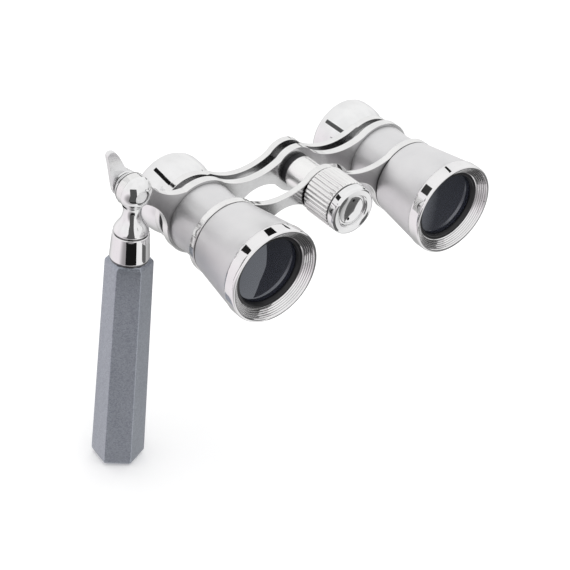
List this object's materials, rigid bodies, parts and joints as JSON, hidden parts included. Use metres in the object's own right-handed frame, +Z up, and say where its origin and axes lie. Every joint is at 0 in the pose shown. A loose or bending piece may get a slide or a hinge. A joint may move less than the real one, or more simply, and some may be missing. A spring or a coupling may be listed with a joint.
{
  "type": "opera glasses",
  "caption": "Fixed-bridge opera glasses with centre focus wheel and a folding six-sided side handle with thumb lever.",
  "frame": {"origin": "midway between the two optical axes, in the plane of the objective bezels' front rims", "axes": "+Y along the optical axes from objectives to eyepieces, +Z up, away from the hanging handle, +X to the right seen from the front"},
  "size_m": [0.1052, 0.0487, 0.0966],
  "materials": {
    "bridge": "polished edges, fine satin faces",
    "satin": "fine satin, silver grey",
    "chrome": "mirror polished",
    "nickel": "bright nickel",
    "black": "matt black",
    "lens": "coated, clear",
    "brass": "turned",
    "steel": "turned",
    "grip_paint": "pearl grey, semi-gloss"
  },
  "bodies": {
    "chassis": {"front_bridge": "bridge", "rear_bridge": "bridge", "left_barrel": "satin", "right_barrel": "satin", "left_cone": "satin", "right_cone": "satin", "left_bezel": "chrome", "right_bezel": "chrome", "left_objective_ring": "black", "right_objective_ring": "black", "left_objective_lens": "lens", "right_objective_lens": "lens", "centre_tube": "chrome", "rear_collar": "black", "spindle_bush": "brass"},
    "focus_wheel": {"focus_wheel": "nickel", "wheel_ring": "chrome", "wheel_cap": "chrome", "focus_spindle": "steel", "thrust_washer": "brass", "spindle_clip": "steel"},
    "eyepiece_unit": {"moving_bridge": "bridge", "left_draw_tube": "chrome", "right_draw_tube": "chrome", "left_eyecup": "chrome", "right_eyecup": "chrome", "left_eye_lens": "lens", "right_eye_lens": "lens", "left_eye_ring": "black", "right_eye_ring": "black", "spindle_nut": "nickel"},
    "handle": {"knuckle": "chrome", "ferrule": "chrome", "ferrule_ring": "steel", "hex_grip": "grip_paint", "handle_stud": "steel", "pivot_screw": "chrome"},
    "thumb_lever": {"clamp_lever": "chrome"}
  },
  "joints": [
    {"name": "wheel_turn", "type": "hinge", "parent": "chassis", "child": "focus_wheel", "pos_m": [0, 0.02, 0.0055], "axis": [0, 1, 0], "range_deg": [-90, 360]},
    {"name": "eyepiece_slide", "type": "slide", "parent": "chassis", "child": "eyepiece_unit", "axis": [0, 1, 0], "range_m": [-0.002, 0.008]},
    {"name": "handle_fold", "type": "hinge", "parent": "chassis", "child": "handle", "pos_m": [-0.0522, 0.03305, 0.0141], "axis": [0, 1, 0], "range_deg": [-2, 230]},
    {"name": "lever_turn", "type": "hinge", "parent": "handle", "child": "thumb_lever", "pos_m": [-0.0522, 0.03305, 0.0141], "axis": [0, 1, 0], "range_deg": [-20, 60]}
  ],
  "couplings": [
    {"joint": "wheel_turn", "follows": "eyepiece_slide", "rad_per_m": 785.39}
  ]
}
